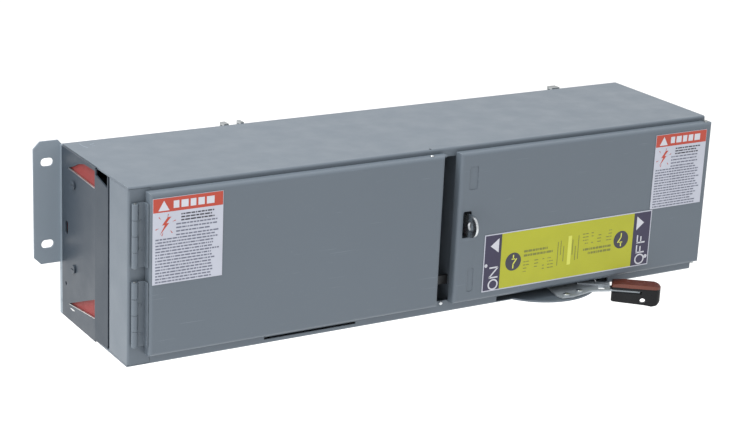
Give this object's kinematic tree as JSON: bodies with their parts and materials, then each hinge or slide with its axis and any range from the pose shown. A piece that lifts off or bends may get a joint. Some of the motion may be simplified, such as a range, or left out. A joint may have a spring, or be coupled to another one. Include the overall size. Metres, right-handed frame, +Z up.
{
  "type": "fused disconnect switch",
  "caption": "Long grey sheet-steel switch unit for a panel, with a hinged fuse door, a hinged switch cover with a padlock hasp, and a swinging lever under its front edge.",
  "frame": {"origin": "centre of the back wall's outer face", "axes": "+X along the length from the cable end, +Y out of the back towards the panel, +Z up"},
  "size_m": [0.7571, 0.2408, 0.2098],
  "materials": {
    "grey_paint": "baked light grey enamel, satin",
    "dark_paint": "dark blue-grey coating, satin",
    "zinc": "clear zinc plate",
    "steel": "bright nickel-plated steel",
    "copper": "bare copper, slightly tarnished",
    "aluminium": "extruded, tin-plated",
    "red_fibre": "vulcanised fibre sheet, matt",
    "moulding": "black thermoset moulding",
    "red_grip": "red vinyl, glossy",
    "black_grip": "black vinyl, glossy",
    "fuse": "fibre tube with brass ferrules",
    "caution_label": "printed vinyl label",
    "operating_label": "printed vinyl label"
  },
  "bodies": {
    "body": {"enclosure": "grey_paint", "front_jamb": "grey_paint", "mount_bracket": "grey_paint", "right_end_plate": "grey_paint", "partition": "grey_paint", "hinge_leaf_fixed_upper": "grey_paint", "hinge_leaf_fixed_lower": "grey_paint", "end_plate": "dark_paint", "end_plate_screw_upper": "dark_paint", "end_plate_screw_lower": "dark_paint", "cover_pivot_upper": "zinc", "cover_pivot_lower": "zinc", "hinge_pin_upper": "zinc", "hinge_pin_lower": "zinc", "rotor_bracket": "zinc", "hang_hook_left": "zinc", "hang_hook_right": "zinc", "padlock_hasp": "steel", "lug_screw_a": "steel", "lug_screw_b": "steel", "lug_screw_c": "steel", "fibre_liner": "red_fibre", "phase_screen_1": "red_fibre", "phase_screen_2": "red_fibre", "line_block": "moulding", "fuse_base": "moulding", "switch_base": "moulding", "fuse_strap_a": "copper", "line_strap_a": "copper", "load_clip_a": "copper", "lug_a": "aluminium", "fuse_a": "fuse", "fuse_strap_b": "copper", "line_strap_b": "copper", "load_clip_b": "copper", "lug_b": "aluminium", "fuse_b": "fuse", "fuse_strap_c": "copper", "line_strap_c": "copper", "load_clip_c": "copper", "lug_c": "aluminium", "fuse_c": "fuse"},
    "fuse_door": {"fuse_door": "grey_paint", "hinge_leaf_moving_upper": "grey_paint", "hinge_leaf_moving_lower": "grey_paint", "door_catch": "zinc", "caution_label_left": "caution_label"},
    "switch_cover": {"switch_cover": "grey_paint", "caution_label_right": "caution_label", "operating_label": "operating_label"},
    "handle": {"handle_disc": "grey_paint", "handle_arm": "steel", "grip_cap": "red_grip", "grip_keel": "black_grip", "handle_shaft": "zinc", "rotor": "moulding", "blade_a": "copper", "blade_b": "copper", "blade_c": "copper"},
    "interlock_bar": {"interlock_bar": "zinc"}
  },
  "joints": [
    {"name": "fuse_door_hinge", "type": "hinge", "parent": "body", "child": "fuse_door", "pos_m": [-0.3565, -0.1746, 0], "axis": [0, 0, -1], "range_deg": [0, 150]},
    {"name": "switch_cover_hinge", "type": "hinge", "parent": "body", "child": "switch_cover", "pos_m": [0.3573, -0.1775, 0], "axis": [0, 0, 1], "range_deg": [0, 90]},
    {"name": "handle_pivot", "type": "hinge", "parent": "body", "child": "handle", "pos_m": [0.166, -0.127, -0.094], "axis": [0, 0, -1], "range_deg": [0, 106]},
    {"name": "interlock_slide", "type": "slide", "parent": "body", "child": "interlock_bar", "axis": [-1, 0, 0], "range_m": [0, 0.012]}
  ],
  "couplings": [
    {"joint": "interlock_slide", "follows": "handle_pivot", "m_per_rad": 0.00648}
  ]
}
